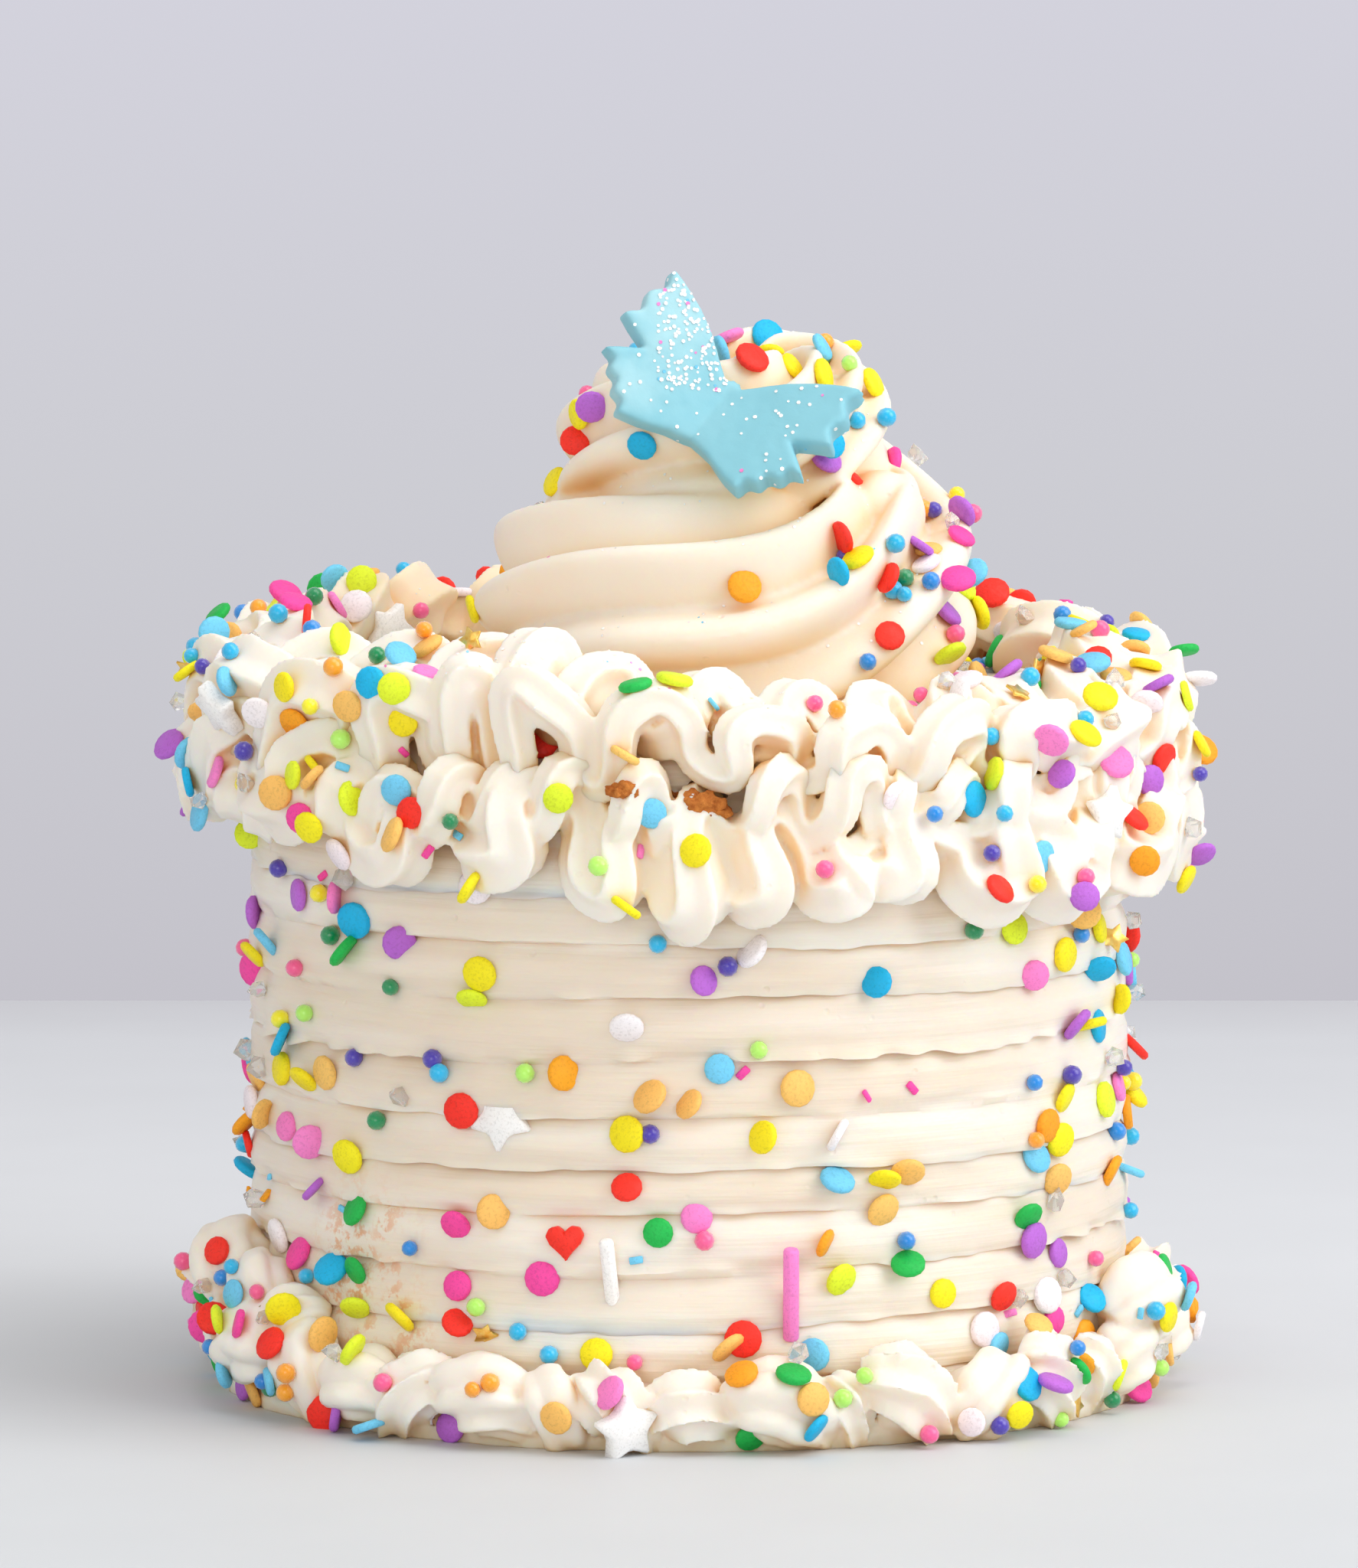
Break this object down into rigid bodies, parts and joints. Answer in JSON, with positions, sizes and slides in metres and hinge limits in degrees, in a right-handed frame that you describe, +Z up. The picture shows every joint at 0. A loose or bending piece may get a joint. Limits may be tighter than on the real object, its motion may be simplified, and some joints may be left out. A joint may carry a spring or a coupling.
{
  "type": "birthday cake",
  "caption": "Small round iced birthday cake with a combed side, piped ruffles, a piped swirl on top, a fondant butterfly and scattered sprinkles.",
  "frame": {"origin": "on the table plane, under the middle of the cake", "axes": "+Z up along the cake's axis; -Y is the front, where the butterfly faces; +X to the right seen from the front"},
  "size_m": [0.1344, 0.1344, 0.146],
  "materials": {
    "crumb": "golden baked sponge crumb, matt and open",
    "icing": "warm white buttercream, smooth with a soft sheen",
    "fondant": "light blue sugar paste, matt, dusted with glitter"
  },
  "bodies": {
    "root": {"sponge": "crumb", "icing_coat": "icing", "shell_border": "icing", "lower_ruffle": "icing", "upper_ruffle": "icing", "swirl": "icing", "butterfly": "fondant"}
  },
  "joints": []
}
